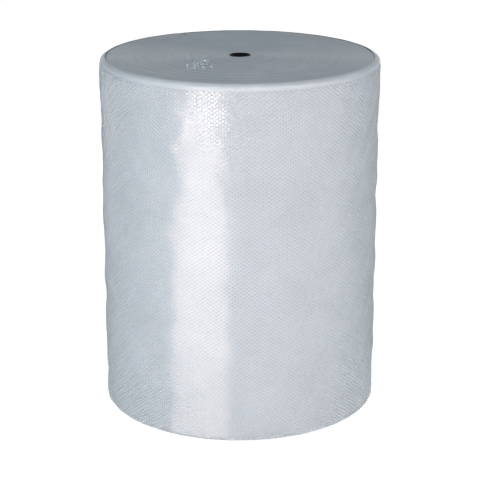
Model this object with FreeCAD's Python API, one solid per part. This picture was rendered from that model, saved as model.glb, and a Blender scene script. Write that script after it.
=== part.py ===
import FreeCAD, Part
import math
import os

# A roll of small-bubble cushioning film, standing on its end.
# Millimetres, +Z up, origin on the roll's axis at the level that it stands on.

# Driving dimensions of the wound film
roll_length = 1219.0
roll_radius = 480.0
wound_thickness = 3.2
top_shoulder = 20.0
shoulder_flats = 3
tail_angle = 118.0

# Columns of bubbles that show as ridges up the side: each stands in for a dozen real ones
ridges_shown = 28
bubble_width = 9.6
bubble_height = 2.8

# Shallow waists where the web was wound tighter, placed as shares of the length
waist_places = (0.30, 0.60, 0.81)
waist_depth = 3.5
waist_reach = 66.0

# Turns that show as a spiral on both ends: each bundles some of the real ones, which stand
# a little lower towards the core
turns_shown = 9
turn_drop = 2.5
step_lean = 1.5
end_margin = 6.0

# Core tube, flush with the film at both ends
core_radius = 36.0
core_wall = 4.0
core_clearance = 0.2

bore_radius = core_radius + core_clearance
tool_lift = 1.0
half_turn = 180.0
full_turn = 360.0
vertical = FreeCAD.Vector(0, 0, 1)


def point(radius, height):
    """A point of a half section: distance from the axis, height above the base."""
    return FreeCAD.Vector(radius, 0, height)


def wall_points(radius):
    """The side of the roll from its foot to the top shoulder, tapering in to each waist."""
    places = [point(radius, 0)]
    for share in waist_places:
        height = share * roll_length
        places.append(point(radius, height - waist_reach))
        places.append(point(radius - waist_depth, height))
        places.append(point(radius, height + waist_reach))
    return places


def shoulder_points(radius):
    """The soft rounding from the side to the top end: a quarter circle in a few flats."""
    places = []
    for index in range(shoulder_flats + 1):
        angle = math.radians(90.0 * index / shoulder_flats)
        places.append(point(radius - top_shoulder + top_shoulder * math.cos(angle),
                            roll_length - top_shoulder + top_shoulder * math.sin(angle)))
    return places


def wound_section(radius, inner=0.0):
    """The closed half section of the wound film, from an inner radius to its outer turn."""
    outline = wall_points(radius) + shoulder_points(radius) + [point(inner, roll_length), point(inner, 0)]
    return Part.Face(Part.makePolygon(outline + outline[:1]))


def on_spiral(shape, pitch, angle):
    """Place a section on a spiral with two centres: on the first half turn the centre lies a
    quarter pitch to one side of the axis, and on the second a quarter pitch to the other."""
    centre = FreeCAD.Vector(pitch / 4 if angle < half_turn else -pitch / 4, 0, 0)
    placed = shape.translated(centre)
    placed.rotate(centre, vertical, angle)
    return placed, centre


def spiral_radius(outer_radius, pitch, angle):
    """The radius about either centre, half a pitch less on the second half turn. The halves
    run on smoothly where they meet, and where the turn ends they are one pitch apart."""
    return outer_radius - (pitch / 4 if angle < half_turn else 3 * pitch / 4)


def spiral_turn(make_face, outer_radius, pitch):
    """A whole turn of a section, as its two halves."""
    halves = []
    for angle in (0.0, half_turn):
        placed, centre = on_spiral(make_face(spiral_radius(outer_radius, pitch, angle)), pitch, angle)
        halves.append(placed.revolve(centre, vertical, half_turn))
    return halves


def turn_comb(outer_radius, pitch, count):
    """The section of a cutter for one end: a bar with a row of sloping teeth, one for each
    turn. A tooth starts at the end's level, slopes down towards the core and steps back up."""
    top = roll_length + tool_lift
    bottom = roll_length - turn_drop
    inner = outer_radius - count * pitch
    places = [point(inner, top), point(inner, roll_length)]
    for index in range(count):
        radius = inner + index * pitch
        places += [point(radius + step_lean, bottom), point(radius + pitch, roll_length)]
    places.append(point(outer_radius, top))
    return Part.Face(Part.makePolygon(places + places[:1]))


def turn_cutters():
    """Cutters for the spiral of turns on the top end, one for each half turn."""
    outer = roll_radius - top_shoulder - end_margin
    inner = bore_radius + end_margin
    pitch = (outer - inner) / (turns_shown + 0.5)
    return spiral_turn(lambda radius: turn_comb(radius, pitch, turns_shown), outer, pitch)


def bubble_column(middle):
    """A ridge at the level of the bubbles' crowns, up the side and over the shoulder: flat
    faces between two sections that stand a bubble's width apart."""
    radius = spiral_radius(roll_radius, wound_thickness, middle)
    section = wound_section(radius, radius - 2 * top_shoulder)
    lean = math.degrees(bubble_width / roll_radius) / 2
    sides = [on_spiral(section, wound_thickness, middle + turn)[0] for turn in (-lean, lean)]
    near, far = [[corner.Point for corner in side.OuterWire.OrderedVertexes] for side in sides]
    for index in range(len(near)):
        strip = [near[index - 1], near[index], far[index], far[index - 1], near[index - 1]]
        sides.append(Part.Face(Part.makePolygon(strip)))
    return Part.Solid(Part.makeShell(sides))


def bubble_columns():
    """The ridges all the way round. One of them lies on each axis of the turned roll."""
    return [bubble_column((full_turn * index / ridges_shown - tail_angle) % full_turn)
            for index in range(ridges_shown)]


def bubble_film():
    """The whole wound web as one solid: the level of the backing film with its free end as a
    straight step, the columns of bubbles, the core's bore and the spiral of turns."""
    first, second = spiral_turn(wound_section, roll_radius - bubble_height, wound_thickness)
    film = first.fuse([second] + bubble_columns()).removeSplitter()
    film = film.cut(Part.makeCylinder(bore_radius, roll_length))
    middle = FreeCAD.Vector(0, 0, roll_length / 2)
    for cutter in turn_cutters():
        film = film.cut(cutter)
        film = film.cut(cutter.mirror(middle, vertical))
    return film.Solids[0]


def core_tube():
    """The plastic tube that the web is wound on."""
    outside = Part.makeCylinder(core_radius, roll_length)
    return outside.cut(Part.makeCylinder(core_radius - core_wall, roll_length))


def save(name, shape):
    """Turn a piece so that the free end lies at its place round the roll, and write it."""
    shape.rotate(FreeCAD.Vector(0, 0, 0), vertical, tail_angle)
    shape.exportStep(os.path.join("parts", name + ".step"))
    box = shape.optimalBoundingBox()
    print(name, "solids", len(shape.Solids), "valid", shape.isValid(), "faces", len(shape.Faces),
          "litres %.1f" % (shape.Volume / 1e6), "size %.1f %.1f %.1f" % (box.XLength, box.YLength, box.ZLength))


os.makedirs("parts", exist_ok=True)
save("bubble_film", bubble_film())
save("core_tube", core_tube())
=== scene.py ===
# %% [markdown]
# # A roll of small-bubble cushioning film
# The real object is one long web of clear polyethylene film, embossed with small air bubbles
# and wound about 138 times round a black plastic tube. It stands on its end. This lesson
# dresses the measured solids with what the eye sees: tens of thousands of bubbles on the
# outer turn, the edges of the turns on both ends, and the free end of the web at the back.

import math

import bpy
import numpy as np
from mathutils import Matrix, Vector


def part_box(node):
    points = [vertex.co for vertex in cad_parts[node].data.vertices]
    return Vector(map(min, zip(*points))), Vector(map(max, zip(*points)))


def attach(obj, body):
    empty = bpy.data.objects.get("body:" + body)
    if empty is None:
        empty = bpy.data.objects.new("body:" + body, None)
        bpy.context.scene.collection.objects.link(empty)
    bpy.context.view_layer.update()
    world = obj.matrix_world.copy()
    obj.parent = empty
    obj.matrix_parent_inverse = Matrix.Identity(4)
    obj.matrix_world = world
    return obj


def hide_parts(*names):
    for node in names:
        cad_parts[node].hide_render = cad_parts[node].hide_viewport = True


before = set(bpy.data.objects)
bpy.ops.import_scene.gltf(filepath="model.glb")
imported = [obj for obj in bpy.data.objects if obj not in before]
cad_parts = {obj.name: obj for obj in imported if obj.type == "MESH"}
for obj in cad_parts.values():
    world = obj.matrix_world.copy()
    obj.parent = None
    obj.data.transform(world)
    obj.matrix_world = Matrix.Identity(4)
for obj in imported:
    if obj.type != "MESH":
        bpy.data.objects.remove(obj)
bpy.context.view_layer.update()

# %% [markdown]
# ## The sizes that everything follows
# The length, the radius and the core come from the frame. The shoulder, the free end's place
# and the 3.2 mm of a turn repeat the solid's own. The rest are the real sizes of small-bubble
# film: 10 mm bubbles that stand a little under 3 mm proud once wound.

# %% Sizes in metres
MM = 0.001
WOUND_THICKNESS = 3.2 * MM
SHOULDER = 20.0 * MM
TAIL_ANGLE = math.radians(118.0)
CORE_CLEARANCE = 0.2 * MM
BUBBLE_HEIGHT = 2.8 * MM
BUBBLE_RADIUS = 4.8 * MM
COLUMN_SPACING = 9.14 * MM
ROW_SPACING = 12.8 * MM
FREE_MARGIN = 18.0 * MM

film_low, film_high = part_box("bubble_film")
core_low, core_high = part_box("core_tube")
roll_length = film_high.z - film_low.z
mean_radius = (film_high.x - film_low.x + film_high.y - film_low.y) / 4
roll_radius = mean_radius + WOUND_THICKNESS / 2
core_radius = (core_high.x - core_low.x) / 2
wall_length = roll_length - SHOULDER
print("roll", round(roll_length, 4), "long,", round(roll_radius, 4), "radius; core", round(core_radius, 4))

# %% [markdown]
# ## The skin of the roll as a function
# A point on the outer turn has two coordinates: how far round it lies from the free end, and
# how far up the web it lies from the foot. The web winds inwards by one thickness a turn, and
# at the top it bends over the soft shoulder along a quarter circle. Tension and handling
# leave shallow waists, long swells and short ripples. The last two are sums of seeded waves, so
# that the surface stays smooth and comes out the same every time.

# %% Waists, lumps and the skin itself
WAIST_PLACES = (0.30, 0.60, 0.81)
WAIST_DEPTH = 3.5 * MM
WAIST_REACH = 66.0 * MM
WAIST_EVENLY = 0.8
WAIST_ONE_SIDE = 0.3
WAIST_TURN = 2.1
SWELLS = dict(count=12, turns=(0, 4), lengths=(0.09, 0.42), height=0.45 * MM)
RIPPLES = dict(count=18, turns=(10, 40), lengths=(0.05, 0.22), height=0.16 * MM)

wave_random = np.random.default_rng(7)


def draw_waves(count, turns, lengths, height):
    """Seeded waves: whole turns round the roll, a wave number along it, a phase and a height."""
    return np.stack([wave_random.integers(*turns, count) * wave_random.choice([-1, 1], count),
                     2 * math.pi / wave_random.uniform(*lengths, count),
                     wave_random.uniform(0, 2 * math.pi, count), np.full(count, height)], 1)


waves = np.concatenate([draw_waves(**SWELLS), draw_waves(**RIPPLES)])
print("waists:", len(WAIST_PLACES), "and waves:", len(waves))


def dent(around, up):
    """How far the skin lies off the plain roll: minus a squared sine at each waist, deeper on
    one side of the roll than the other, plus the waves, each its height times the cosine of
    turns times the angle plus wave number times the height plus phase."""
    depth = np.zeros(np.broadcast(around, up).shape)
    for number, share in enumerate(WAIST_PLACES):
        nearness = np.clip(1 - np.abs(up - share * roll_length) / WAIST_REACH, 0, 1)
        side = WAIST_EVENLY + WAIST_ONE_SIDE * np.cos(around + WAIST_TURN * number)
        depth = depth - WAIST_DEPTH * side * np.sin(nearness * math.pi / 2) ** 2
    for turns, wave, phase, height in waves:
        depth = depth + height * np.cos(turns * around + wave * up + phase)
    return depth


def skin(around, up, lift):
    """Points at a lift above the backing film. The radius is the outer radius less a bubble
    and less a thickness times the share of a turn; past the wall the point follows a quarter
    circle; dents and lift move it along the surface's outward direction."""
    bend = np.clip((up - wall_length) / SHOULDER, 0, math.pi / 2)
    out = lift + dent(around, up) * np.cos(bend)
    radius = roll_radius - BUBBLE_HEIGHT - WOUND_THICKNESS * around / (2 * math.pi)
    radius = radius - SHOULDER * (1 - np.cos(bend)) + out * np.cos(bend)
    height = np.minimum(up, wall_length) + (SHOULDER - BUBBLE_HEIGHT) * np.sin(bend) + out * np.sin(bend)
    angle = TAIL_ANGLE + around
    return np.stack([radius * np.cos(angle), radius * np.sin(angle), height + 0 * angle], -1)


# %% [markdown]
# ## Putting arrays into meshes
# Every surface here is worked out as whole arrays, so one helper turns points and faces into
# an object, and another numbers the quads of a grid.

# %% Mesh helpers
def make_piece(name, points, faces, smooth=True):
    """An object at the origin from an array of points and an array or list of faces."""
    mesh = bpy.data.meshes.new(name)
    mesh.from_pydata(points.reshape(-1, 3), [], faces if isinstance(faces, list) else faces.tolist())
    mesh.polygons.foreach_set("use_smooth", np.full(len(mesh.polygons), smooth))
    mesh.update()
    piece = bpy.data.objects.new(name, mesh)
    bpy.context.scene.collection.objects.link(piece)
    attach(piece, "root")
    print(name, "points", len(mesh.vertices), "faces", len(mesh.polygons))
    return piece


def grid_quads(rows, columns):
    """The quads of a grid of points stored row by row: each joins a point to the next in its
    row, to the one above that, and back."""
    corner = np.arange(rows - 1)[:, None] * columns + np.arange(columns - 1)[None, :]
    return np.stack([corner, corner + 1, corner + columns + 1, corner + columns], -1).reshape(-1, 4)


# %% [markdown]
# ## The backing film
# Between the bubbles the eye sees the flat backing film. It is one smooth sheet that follows
# the skin at no lift, from just inside the free end to a little past a full turn, so that it
# passes under the free end. Such film has a plain margin along its edge, without bubbles: at
# the top it rises to the level of the crowns and bends over the shoulder as a smooth pale rim.
# The margin is a grid of its own, because its finish is smoother, and its first row lies on
# the last row of the sheet below.

# %% The backing sheet
BACKING_COLUMNS = 240
BACKING_ROWS = 64
MARGIN_ROWS = 14
OVERLAP_ANGLE = 0.06
SKIN_TOP_BEND = math.radians(84.0)
MARGIN_BELOW = 8.0 * MM
MARGIN_RISE = 20.0 * MM
START_SHARE = 0.8

margin_angle = FREE_MARGIN / roll_radius
margin_start = wall_length - MARGIN_BELOW
skin_top = wall_length + SHOULDER * SKIN_TOP_BEND
around = np.linspace(margin_angle * START_SHARE, 2 * math.pi + OVERLAP_ANGLE, BACKING_COLUMNS)
wall_rows = np.linspace(0, margin_start, BACKING_ROWS)
backing = make_piece("backing_film", skin(around[None, :], wall_rows[:, None], 0.0),
                     grid_quads(BACKING_ROWS, BACKING_COLUMNS))
margin_rows = np.linspace(margin_start, skin_top, MARGIN_ROWS)
rise = np.clip((margin_rows - margin_start) / MARGIN_RISE, 0, 1)
margin_lift = BUBBLE_HEIGHT * rise ** 2 * (3 - 2 * rise)
margin = make_piece("plain_margin", skin(around[None, :], margin_rows[:, None], margin_lift[:, None]),
                    grid_quads(MARGIN_ROWS, BACKING_COLUMNS))

# %% [markdown]
# ## The bubbles
# A bubble is a low round button: a ring at the backing, a smaller ring at its shoulder and a
# nearly flat crown. Eight sides are enough at this size, which keeps it to 24 triangles. The
# crown is that flat because it then mirrors one thing at a time, as the taut film does, and
# the bright stripe up the roll keeps its edges. Neighbouring columns are staggered by half a
# row. Air is lost and film is stretched unevenly, so each bubble has its own height and lean,
# from a seeded draw. The columns are split into panels because one mesh of all the bubbles
# would be too heavy.

# %% Bubble panels
PANELS = 6
SIDES = 8
BASE_SINK = 0.3 * MM
RING_SHARE = 0.86
RING_RISE = 0.95
MEAN_HEIGHT = 0.97
HEIGHT_SPREAD = 0.03
HEIGHT_LIMITS = (0.7, 1.05)
LEAN = 0.04
LEAN_LIMIT = 2
CROWN_LEAN = 1.5

bubble_random = np.random.default_rng(21)
column_count = round(2 * math.pi * roll_radius / COLUMN_SPACING)
row_count = int(margin_start / ROW_SPACING)
column_step = COLUMN_SPACING / roll_radius
column_angles = np.linspace(margin_angle + column_step, 2 * math.pi + column_step, column_count)


def bubble_points(around, up, height, lean_around, lean_up):
    """The points of each bubble: a foot ring and a shoulder ring, whose points lie at a radius
    times the cosine and sine of their angle along the skin, and a crown over the middle. The
    shoulder is shifted by the lean, and the crown by a little more."""
    turn = np.arange(SIDES) * 2 * math.pi / SIDES
    across = BUBBLE_RADIUS * np.cos(turn)[None, :]
    along = BUBBLE_RADIUS * np.sin(turn)[None, :]
    foot = skin(around[:, None] + across / roll_radius, up[:, None] + along, -BASE_SINK)
    across = RING_SHARE * across + lean_around[:, None]
    along = RING_SHARE * along + lean_up[:, None]
    shoulder = skin(around[:, None] + across / roll_radius, up[:, None] + along, RING_RISE * height[:, None])
    crown = skin(around + CROWN_LEAN * lean_around / roll_radius, up + CROWN_LEAN * lean_up, height)
    return np.concatenate([foot, shoulder, crown[:, None, :]], 1)


def bubble_faces(count):
    """Side quads and crown triangles of every bubble, offset by its first point's number."""
    here = np.arange(SIDES)
    following = (here + 1) % SIDES
    sides = np.stack([here, following, following + SIDES, here + SIDES], -1)
    crown = np.stack([here + SIDES, following + SIDES, np.full(SIDES, 2 * SIDES)], -1)
    first = np.arange(count)[:, None, None] * (2 * SIDES + 1)
    return (first + sides).reshape(-1, 4).tolist() + (first + crown).reshape(-1, 3).tolist()


def bubble_panel(number, columns):
    """One panel of bubble columns, each column's rows staggered against its neighbour's."""
    stagger = (columns % 2) * 0.5
    rows = (np.arange(row_count)[None, :] + 0.5 + stagger[:, None]) * ROW_SPACING
    places = np.broadcast_to(column_angles[columns][:, None], rows.shape).ravel()
    rows = rows.ravel()
    draw = bubble_random.normal(size=(3, len(rows)))
    height = BUBBLE_HEIGHT * np.clip(MEAN_HEIGHT + HEIGHT_SPREAD * draw[0], *HEIGHT_LIMITS)
    lean = LEAN * BUBBLE_RADIUS * np.clip(draw[1:], -LEAN_LIMIT, LEAN_LIMIT)
    points = bubble_points(places, rows, height, lean[0], lean[1])
    piece = make_piece(f"bubbles_{number}", points, bubble_faces(len(rows)))
    sides = np.arange(len(piece.data.polygons)) < SIDES * len(rows)
    piece.data.polygons.foreach_set("use_smooth", sides)
    tone = piece.data.attributes.new("tone", "FLOAT", "POINT")
    tone.data.foreach_set("value", np.repeat(bubble_random.uniform(0, 1, len(rows)), 2 * SIDES + 1))
    return piece


panels = [bubble_panel(number + 1, columns)
          for number, columns in enumerate(np.array_split(np.arange(column_count), PANELS))]
print(column_count, "columns of", row_count, "bubbles")

# %% [markdown]
# ## The edges of the turns
# Each end of the roll shows the edge of every turn, 3.2 mm apart, as a fine spiral of ridges
# and valleys. The turns have slipped a little along the roll in bundles, as the solid under
# them shows, and each turn stands a hair higher or lower than the next.

# %% The spiral ends
TURN_SAMPLES = 150
VALLEY_DEPTH = 1.4 * MM
RIDGE_DEPTH = 0.2 * MM
EDGE_WANDER = 0.35 * MM
WANDER_WAVES = ((0.9, 1.0), (2.3, 0.8), (5.1, 0.6), (0.31, 1.2))
RIM_OVERLAP = 0.5 * MM
RIM_SLOPE = 0.25
BUNDLES = 9
BUNDLE_DROP = 2.5 * MM
BUNDLE_STEP = 1.5 * MM
END_MARGIN = 6.0 * MM

bore_radius = core_radius + CORE_CLEARANCE
bundle_outer = roll_radius - SHOULDER - END_MARGIN
bundle_inner = bore_radius + END_MARGIN
bundle_pitch = (bundle_outer - bundle_inner) / (BUNDLES + 0.5)


def bundle_depth(around, radius):
    """How far a bundle has slipped in: nothing at its outer side, growing in a straight line
    to the full drop, and back to nothing over the short step at its inner side."""
    place = (bundle_outer - bundle_pitch * around / (2 * math.pi) - radius) / bundle_pitch
    share = place % 1.0
    step = BUNDLE_STEP / bundle_pitch
    slope = np.minimum(share / (1 - step), (1 - share) / step)
    return np.where((place > 0) & (place < BUNDLES), BUNDLE_DROP * slope, 0.0)


def end_points(seed):
    """Points of one end: half turns of a spiral, ridge and valley in turn, sunk by slow waves
    along the spiral, each so many to a turn and with its share of the wander, and both rims
    tucked under their neighbours."""
    draw = np.random.default_rng(seed)
    outer = roll_radius - (SHOULDER + BUBBLE_HEIGHT) * (1 - math.cos(SKIN_TOP_BEND)) + RIM_OVERLAP
    half_turns = int((outer - bore_radius) / (WOUND_THICKNESS / 2))
    number = np.arange(-1, half_turns)[:, None]
    around = np.linspace(0, 2 * math.pi, TURN_SAMPLES)[None, :]
    radius = outer - (half_turns - number) * WOUND_THICKNESS / 2 - WOUND_THICKNESS * around / (2 * math.pi)
    along = number / 2 - around / (2 * math.pi)
    depth = bundle_depth(around, radius) + np.where(number % 2 == 1, VALLEY_DEPTH, RIDGE_DEPTH)
    for wave, share in WANDER_WAVES:
        phase = draw.uniform(0, 2 * math.pi)
        depth = depth + EDGE_WANDER * share * (1 + np.cos(2 * math.pi * wave * along + phase)) / 2
    depth = depth + RIM_SLOPE * np.maximum(radius - roll_radius + SHOULDER, 0.0)
    depth = depth + np.where(radius < bore_radius + WOUND_THICKNESS / 2, VALLEY_DEPTH, 0.0)
    angle = TAIL_ANGLE + around
    return radius * np.cos(angle), radius * np.sin(angle), depth


def end_piece(name, seed, level, sign):
    """The top end looks up and the bottom end down: depth runs into the roll on both."""
    x, y, depth = end_points(seed)
    points = np.stack([x, y, level - sign * depth], -1)
    quads = grid_quads(*x.shape)
    return make_piece(name, points, quads[:, ::-1] if sign > 0 else quads)


top_end = end_piece("top_turns", 3, roll_length, 1)
bottom_end = end_piece("bottom_turns", 4, 0.0, -1)

# %% [markdown]
# ## Ruffled edges on the top
# On one patch of the top, to the left of the core and a little in front of it, the edges of
# the turns have been pushed up. Each is a short steep tent along its turn, and its side
# towards the light shows as a white glint. The glint is partly the lamps on the tents' gloss
# and partly painted: their film is painted near white, paler than the rest of the film.

# %% Ruffles
RUFFLE_COUNT = 150
RUFFLE_PLACE = (-0.135, -0.140)
RUFFLE_SPREAD = (0.042, 0.085)
SPREAD_LIMIT = 1.8
RUFFLE_TURN = 0.3
RUFFLE_LENGTHS = (0.9, 2.2)
RUFFLE_WIDTHS = (0.6, 1.1)
RUFFLE_HEIGHTS = (1.6, 3.6)
RUFFLE_FOOT = 3.0 * MM
CREST_SHARE = 0.8

ruffle_random = np.random.default_rng(12)
spread = ruffle_random.normal(size=(RUFFLE_COUNT, 2)).clip(-SPREAD_LIMIT, SPREAD_LIMIT)
middle = np.array(RUFFLE_PLACE) + spread * RUFFLE_SPREAD / SPREAD_LIMIT
turned = np.arctan2(middle[:, 1], middle[:, 0]) + math.pi / 2
turned = turned + ruffle_random.uniform(-RUFFLE_TURN, RUFFLE_TURN, RUFFLE_COUNT)
half_length = ruffle_random.uniform(*RUFFLE_LENGTHS, (RUFFLE_COUNT, 1)) * MM
half_width = ruffle_random.uniform(*RUFFLE_WIDTHS, (RUFFLE_COUNT, 1)) * MM
height = ruffle_random.uniform(*RUFFLE_HEIGHTS, RUFFLE_COUNT) * MM
along = np.stack([np.cos(turned), np.sin(turned)], -1) * half_length
across = np.stack([-np.sin(turned), np.cos(turned)], -1) * half_width

foot = np.full(RUFFLE_COUNT, -RUFFLE_FOOT)
tent_corners = ((-1, -1, foot), (1, -1, foot), (1, 1, foot), (-1, 1, foot),
                (-CREST_SHARE, 0, height), (CREST_SHARE, 0, CREST_SHARE * height))
ruffle_points = np.stack([np.column_stack([middle + a * along + b * across, roll_length + level])
                          for a, b, level in tent_corners], 1)
tent = np.arange(RUFFLE_COUNT)[:, None, None] * len(tent_corners)
tent_sides = tent + np.array([[0, 1, 5, 4], [2, 3, 4, 5]])
tent_ends = tent + np.array([[1, 2, 5], [3, 0, 4], [3, 2, 1], [1, 0, 3]])
tent_faces = tent_sides.reshape(-1, 4).tolist() + tent_ends.reshape(-1, 3).tolist()
ruffles = make_piece("ruffled_edges", ruffle_points, tent_faces, False)

# %% [markdown]
# ## The free end of the web
# At the back the web simply stops: a straight cut along the roll, with a narrow margin of
# flat film that lifts a little from the turn below in long waves.

# %% The free end
FLAP_THICKNESS = 0.4 * MM
FLAP_LIFT = 1.4 * MM
FLAP_SHARE = 1.15
FLAP_ROWS = 160
FLAP_COLUMNS = 9
FLAP_WAVE = 0.23
FLAP_DRIFT = 0.61

flap_around = np.linspace(0, margin_angle * FLAP_SHARE, FLAP_COLUMNS)[None, :]
flap_up = np.linspace(0, wall_length, FLAP_ROWS)[:, None]
flap_free = (1 - flap_around / flap_around.max()) ** 2
# the lift swings between a fifth and the whole, in waves that drift a little
flap_drift = 1.3 * np.sin(flap_up * 2 * math.pi / FLAP_DRIFT)
flap_wave = 0.6 + 0.4 * np.sin(flap_up * 2 * math.pi / FLAP_WAVE + flap_drift)
flap_lift = FLAP_THICKNESS + FLAP_LIFT * flap_free * flap_wave
free_end = make_piece("free_end", skin(flap_around, flap_up, flap_lift),
                      grid_quads(FLAP_ROWS, FLAP_COLUMNS))
thickness = free_end.modifiers.new("film thickness", "SOLIDIFY")
thickness.thickness = FLAP_THICKNESS
thickness.offset = -1

film_pieces = (backing, margin, top_end, bottom_end, ruffles, free_end, *panels)
for piece in film_pieces:
    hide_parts("bubble_film")

# %% [markdown]
# ## Finishes
# Colours are written as the sRGB values that the eye reads and turned to linear light by one
# function. One helper adds a node with its settings and links.

# %% Material helpers
def linear(text):
    """Linear colour from an sRGB hex value: each channel over 255, then the sRGB curve."""
    levels = [int(text[index:index + 2], 16) / 255 for index in (1, 3, 5)]
    return tuple(level / 12.92 if level <= 0.04045 else ((level + 0.055) / 1.055) ** 2.4
                 for level in levels) + (1.0,)


def add(tree, kind, inputs=None, **settings):
    """Adds a node: settings are its properties, and inputs gives sockets a value or a link."""
    made = tree.nodes.new(kind)
    for name, value in settings.items():
        setattr(made, name, value)
    for name, value in (inputs or {}).items():
        if isinstance(value, bpy.types.NodeSocket):
            tree.links.new(value, made.inputs[name])
        else:
            made.inputs[name].default_value = value
    return made


def new_material(name):
    """An empty node material with its output node, ready for a shader."""
    material = bpy.data.materials.new(name)
    material.use_nodes = True
    material.node_tree.nodes.clear()
    return material, material.node_tree, add(material.node_tree, "ShaderNodeOutputMaterial")


def dress(piece, material):
    """Gives a piece this one material."""
    piece.data.materials.clear()
    piece.data.materials.append(material)


# %% [markdown]
# ## Polyethylene bubble film
# Blown low-density polyethylene is clear, but a hundred turns of it over each other scatter
# light like frosted glass. So this is a pale blue-grey body, into which the light goes some
# millimetres before it comes out again, under a skin with the film's refractive index of 1.51
# and a thin coat at 1.6 that sharpens the gloss. The eye sees soft cloudy patches where air
# lies between the turns, and a slightly different grey on each bubble. The bubbles are blown
# taut and mirror the most, the ruffles glint, the flat film between the bubbles hardly
# mirrors at all, and the cut edges on the ends are dull. The flat film between the bubbles is
# painted paler than the bubbles, as painted light against the shade that falls between them,
# and the ruffles are painted near white, as a painted glint on top of their real gloss.

# %% Film material
SCATTER_DEPTH = 12.0 * MM
CLOUD_SIZE = 166.667 * MM
CRINKLE_SIZE = 2.5 * MM
CRINKLE_HEIGHT = 0.4 * MM
TONE_SHARE = 0.35
RAMP_ENDS = (0.25, 0.75)


def film_material(name, light, dark, roughness, coat, use_tone=False):
    """The body's colour runs from dark to light with the clouds and, on the bubbles, with a
    share of each one's tone. The coat's strength is also the gloss of the skin under it."""
    material, tree, output = new_material(name)
    place = add(tree, "ShaderNodeTexCoord").outputs["Object"]
    clouds = add(tree, "ShaderNodeTexNoise", {"Vector": place, "Scale": 1 / CLOUD_SIZE, "Detail": 3.0,
                                              "Roughness": 0.6})
    mixing = clouds.outputs["Fac"]
    if use_tone:
        tone = add(tree, "ShaderNodeAttribute", attribute_name="tone").outputs["Fac"]
        toned = add(tree, "ShaderNodeMath", {0: tone, 1: TONE_SHARE, 2: mixing}, operation="MULTIPLY_ADD")
        centred = add(tree, "ShaderNodeMath", {0: toned.outputs[0], 1: TONE_SHARE / 2}, operation="SUBTRACT")
        mixing = centred.outputs[0]
    colour = add(tree, "ShaderNodeValToRGB", {"Fac": mixing})
    for element, end, shade in zip(colour.color_ramp.elements, RAMP_ENDS, (dark, light)):
        element.position = end
        element.color = linear(shade)
    crinkle = add(tree, "ShaderNodeTexNoise", {"Vector": place, "Scale": 1 / CRINKLE_SIZE, "Detail": 2.0})
    bump = add(tree, "ShaderNodeBump", {"Height": crinkle.outputs["Fac"], "Strength": 0.15,
                                        "Distance": CRINKLE_HEIGHT})
    shader = add(tree, "ShaderNodeBsdfPrincipled", {
        "Base Color": colour.outputs["Color"], "Roughness": roughness, "IOR": 1.51,
        "Specular IOR Level": coat, "Subsurface Weight": 0.95, "Subsurface Radius": (1.0, 1.0, 1.0),
        "Subsurface Scale": SCATTER_DEPTH, "Coat Weight": coat, "Coat Roughness": 0.10,
        "Coat IOR": 1.6, "Normal": bump.outputs["Normal"]}, subsurface_method="BURLEY")
    tree.links.new(shader.outputs[0], output.inputs[0])
    return material


bubble_skin = film_material("polyethylene bubbles", "#c7cbcf", "#bdc2c6", 0.17, 0.7, True)
# painted light: the backing film's colours are paler than the bubbles' to offset the shade that falls between
# the bubbles
backing_skin_painted_light = film_material("polyethylene backing film with painted light", "#cdd1d5", "#c4c9cd", 0.45, 0.1)
margin_skin = film_material("polyethylene plain margin", "#d0d4d7", "#c7ccd0", 0.45, 0.2)
# painted glint: the ruffles' colours are near white, far paler than the rest of the film
ruffle_skin_painted_glint = film_material("polyethylene ruffles with painted glint", "#e8ebee", "#dadee1", 0.25, 0.6)
edge_skin = film_material("cut edges of polyethylene film", "#cecdce", "#c1c0c2", 0.50, 0.06)
for piece in panels:
    dress(piece, bubble_skin)
dress(backing, backing_skin_painted_light)
for piece in (margin, free_end):
    dress(piece, margin_skin)
dress(ruffles, ruffle_skin_painted_glint)
for piece in (top_end, bottom_end):
    dress(piece, edge_skin)
print("film finishes:", len({piece.data.materials[0].name for piece in film_pieces}))

# %% [markdown]
# ## Black core plastic
# The tube is extruded from recycled polyethylene, of about the same refractive index, and
# soot makes it black. The eye sees a dull, nearly black wall with faint lines along the way
# it was drawn. The lines are drawn about a millimetre wide, coarser than real ones, to show.

# %% Core material
LINE_WIDTH = 1.1111 * MM
LINE_LENGTH = 83.333 * MM
LINE_HEIGHT = 0.2 * MM

core_material, tree, output = new_material("black extruded polyethylene")
place = add(tree, "ShaderNodeTexCoord").outputs["Object"]
line_scale = (1 / LINE_WIDTH, 1 / LINE_WIDTH, 1 / LINE_LENGTH)
stretched = add(tree, "ShaderNodeMapping", {"Vector": place, "Scale": line_scale})
lines = add(tree, "ShaderNodeTexNoise", {"Vector": stretched.outputs[0], "Scale": 1.0, "Detail": 2.0})
shade = add(tree, "ShaderNodeValToRGB", {"Fac": lines.outputs["Fac"]})
shade.color_ramp.elements[0].color = linear("#030304")
shade.color_ramp.elements[1].color = linear("#0a0a0b")
bump = add(tree, "ShaderNodeBump", {"Height": lines.outputs["Fac"], "Strength": 0.3, "Distance": LINE_HEIGHT})
shader = add(tree, "ShaderNodeBsdfPrincipled", {
    "Base Color": shade.outputs["Color"], "Roughness": 0.6, "IOR": 1.5, "Specular IOR Level": 0.25,
    "Normal": bump.outputs["Normal"]})
tree.links.new(shader.outputs[0], output.inputs[0])
dress(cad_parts["core_tube"], core_material)
print("the core wears", core_material.name)

# %% [markdown]
# ## Studio
# The roll stands on white paper in a white room. Rays that the eye follows, from the camera or
# by way of a mirror or glass, find both at full white. Rays that only carry light find a
# dimmer, cooler room, so that the pale film isn't washed out. A little of the real paper stays
# mixed into what the eye sees, for the roll's shadow, but the glow is set so strong that the
# shadow hardly shows: a weaker glow brings it back and turns the background slightly grey.

# %% Floor and room
FLOOR_SIZE = 40.0
FLOOR_LEVEL = -0.5 * MM
GLOW_SHARE = 0.88
GLOW_STRENGTH = 1.115
ROOM_STRENGTH = 0.36


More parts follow.
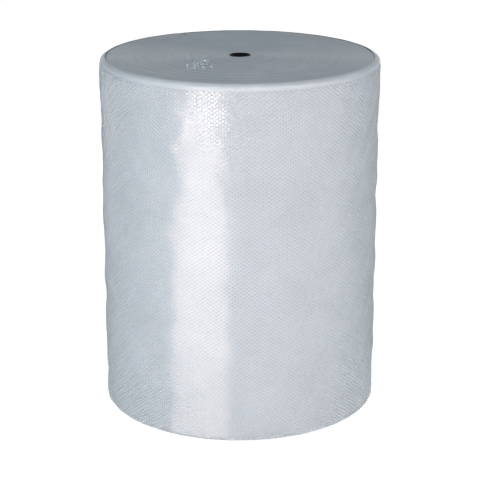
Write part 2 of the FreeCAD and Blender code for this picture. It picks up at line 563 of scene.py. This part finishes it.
def eye_share(tree):
    """1 on a ray that the eye follows, from the camera or mirrored or let through on its way,
    and 0 on a ray that only carries light."""
    ray = add(tree, "ShaderNodeLightPath").outputs
    mirrored = add(tree, "ShaderNodeMath", {0: ray["Is Camera Ray"], 1: ray["Is Glossy Ray"]},
                   operation="MAXIMUM")
    return add(tree, "ShaderNodeMath", {0: mirrored.outputs[0], 1: ray["Is Transmission Ray"]},
               operation="MAXIMUM").outputs[0]


def studio_sheet(name, corners):
    """A flat sheet from its corners, in order round its edge."""
    mesh = bpy.data.meshes.new(name)
    mesh.from_pydata(corners, [], [list(range(len(corners)))])
    sheet = bpy.data.objects.new(name, mesh)
    bpy.context.scene.collection.objects.link(sheet)
    return sheet


floor_corners = np.array([[-1, -1, 0], [1, -1, 0], [1, 1, 0], [-1, 1, 0]]) * FLOOR_SIZE / 2
floor = studio_sheet("floor", floor_corners + [0, 0, FLOOR_LEVEL])

floor_material, tree, output = new_material("white paper sweep")
paper = add(tree, "ShaderNodeBsdfDiffuse", {"Color": linear("#e6e6e6")})
glow = add(tree, "ShaderNodeEmission", {"Color": (1, 1, 1, 1), "Strength": GLOW_STRENGTH})
share = add(tree, "ShaderNodeMath", {0: eye_share(tree), 1: GLOW_SHARE}, operation="MULTIPLY")
blend = add(tree, "ShaderNodeMixShader", {0: share.outputs[0], 1: paper.outputs[0], 2: glow.outputs[0]})
tree.links.new(blend.outputs[0], output.inputs[0])
dress(floor, floor_material)

world = bpy.data.worlds.new("studio surround")
bpy.context.scene.world = world
world.use_nodes = True
tree = world.node_tree
tree.nodes.clear()
dim = add(tree, "ShaderNodeBackground", {"Color": linear("#dff2ff"), "Strength": ROOM_STRENGTH})
white = add(tree, "ShaderNodeBackground", {"Color": (1, 1, 1, 1), "Strength": 1.0})
blend = add(tree, "ShaderNodeMixShader", {0: eye_share(tree), 1: dim.outputs[0], 2: white.outputs[0]})
tree.links.new(blend.outputs[0], add(tree, "ShaderNodeOutputWorld").inputs[0])
print("floor", FLOOR_SIZE, "m wide, room at", ROOM_STRENGTH, "of white for the light")

# %% [markdown]
# ## Lamps
# Five soft boxes give the plain level of light. The low key stands below the camera and does
# most of the work on the side that the photograph shows, a cool left key and a right fill
# shape the round, the high key lights the top end, and the back box lights the side that the
# photograph doesn't show. Only the high key leaves a glint on the gloss, because the images
# of the others would cross the one bright stripe that belongs there.

# %% Lamps
def soft_box(name, azimuth, distance, height, size, power, colour, aim_height, mirrored=True):
    """A rectangular lamp at an azimuth from the camera's side, turned to face the roll. A lamp
    that isn't mirrored lights the film's body and leaves no glint on its gloss."""
    lamp = bpy.data.lights.new(name, "AREA")
    lamp.shape = "RECTANGLE"
    lamp.size, lamp.size_y = size
    lamp.energy = power
    lamp.color = linear(colour)[:3]
    holder = bpy.data.objects.new(name, lamp)
    bpy.context.scene.collection.objects.link(holder)
    angle = math.radians(azimuth)
    holder.location = (distance * math.sin(angle), -distance * math.cos(angle), height)
    lean = math.atan2(height - aim_height, distance)
    holder.rotation_euler = (math.pi / 2 - lean, 0, angle)
    holder.visible_camera = False
    holder.visible_glossy = mirrored
    print(name, power, "W", "and mirrored" if mirrored else "")


soft_box("left key", -31.0, 3.3, 0.9, (2.3, 1.8), 21.0, "#a8e3ff", 0.6, False)
soft_box("low key", -5.0, 4.0, 1.0, (2.4, 1.8), 83.0, "#ffeae3", 0.5, False)
soft_box("high key", -5.0, 3.0, 3.4, (2.0, 2.0), 9.0, "#fffaf4", 0.6)
soft_box("right fill", 62.0, 3.6, 0.55, (2.6, 1.1), 28.0, "#f6faff", 0.5, False)
soft_box("back box", -176.0, 3.5, 0.6, (2.6, 1.1), 130.0, "#fffbf8", 0.6, False)

# %% [markdown]
# ## What the gloss mirrors
# The bright stripe up the roll is a mirror image. Seen from above, the wall mirrors what lies
# low and to the left, so glowing boards lie there on the floor, brighter further out, and one
# stands at their far end for the places where a waist tilts the wall upwards. Round the roll
# lies a card that fades from white in front of it to grey behind it: gloss seen at a slant
# would otherwise turn the roll's two edges as white as the room. The boards and the card are
# visible to mirrored rays alone, so they light and shade nothing.

# %% Glowing boards
BOARDS = (("near board", 0.03, 0.7, 0.0, 29.0, 4.5, 4.2), ("middle board", 0.7, 3.0, 0.0, 29.0, 5.0, 6.4),
          ("far board", 3.0, 7.5, 0.0, 22.5, 8.0, 8.8), ("standing board", 7.5, 7.6, 2.2, 24.0, 7.0, 7.0))
BOARD_LEVEL = 1.0 * MM
BOARD_LIGHT = "#fff0e9"


def only_mirrored(sheet):
    """Leaves a sheet visible to mirrored rays alone."""
    sheet.visible_camera = False
    sheet.visible_diffuse = False
    sheet.visible_shadow = False


def glowing_board(name, near, far, rise, left, right, glow):
    """A board that the wall mirrors. The wall at an angle to the left of its middle mirrors
    what lies in the direction of twice that angle, so the board's corners lie at the near and
    the far distance along those directions, and the far ones stand higher by the rise."""
    corners = []
    for degrees, reaches in ((left, (near, far)), (right, (far, near))):
        angle = math.radians(-degrees)
        start = np.array([math.sin(angle), -math.cos(angle)]) * roll_radius
        along = np.array([math.sin(2 * angle), -math.cos(2 * angle)])
        corners += [(*(start + along * reach), BOARD_LEVEL + rise * (reach == far)) for reach in reaches]
    board = studio_sheet(name, corners)
    only_mirrored(board)
    material, tree, output = new_material(name)
    light = add(tree, "ShaderNodeEmission", {"Color": linear(BOARD_LIGHT), "Strength": glow})
    tree.links.new(light.outputs[0], output.inputs[0])
    dress(board, material)
    print(name, "from", near, "to", far, "m out")


for board in BOARDS:
    glowing_board(*board)

# %% Graded card
CARD_FRONT = -0.9
CARD_DARK = 0.4
CARD_REACH = 6.0
CARD_SHADE = 0.2

card_corners = [(-CARD_REACH, CARD_FRONT, FLOOR_LEVEL / 2), (CARD_REACH, CARD_FRONT, FLOOR_LEVEL / 2),
                (CARD_REACH, CARD_REACH, FLOOR_LEVEL / 2), (-CARD_REACH, CARD_REACH, FLOOR_LEVEL / 2)]
card = studio_sheet("graded card", card_corners)
only_mirrored(card)

card_material, tree, output = new_material("graded grey card")
depth = add(tree, "ShaderNodeSeparateXYZ", {"Vector": add(tree, "ShaderNodeTexCoord").outputs["Object"]})
fade = add(tree, "ShaderNodeMapRange", {"Value": depth.outputs["Y"], "From Min": CARD_FRONT,
                                        "From Max": CARD_DARK, "To Min": 1.0, "To Max": CARD_SHADE})
shine = add(tree, "ShaderNodeEmission", {"Color": (1, 1, 1, 1), "Strength": fade.outputs["Result"]})
tree.links.new(shine.outputs[0], output.inputs[0])
dress(card, card_material)
print("card fades from", CARD_FRONT, "to", CARD_DARK, "m")

# %% [markdown]
# ## Camera
# The photograph was taken from a little over five metres with a long lens, looking down at
# about eighteen degrees, so the sides of the roll stay nearly parallel.

# %% Camera
CAMERA_DISTANCE = 11.0 * roll_radius
CAMERA_HEIGHT = 4.722 * roll_radius
CAMERA_PITCH = math.radians(17.97)
FRAME_PIXELS = 480.0
FOCAL_PIXELS = 1566.2
SENSOR = 36.0
CLIP_END = 100.0

camera_data = bpy.data.cameras.new("photo camera")
camera_data.sensor_width = SENSOR
camera_data.lens = FOCAL_PIXELS * SENSOR / FRAME_PIXELS
camera_data.clip_end = CLIP_END
camera = bpy.data.objects.new("photo camera", camera_data)
bpy.context.scene.collection.objects.link(camera)
camera.location = (0, -CAMERA_DISTANCE, CAMERA_HEIGHT)
camera.rotation_euler = (math.pi / 2 - CAMERA_PITCH, 0, 0)
bpy.context.scene.camera = camera
bpy.context.scene.view_settings.view_transform = "Standard"
print("lens", round(camera_data.lens, 1), "mm")
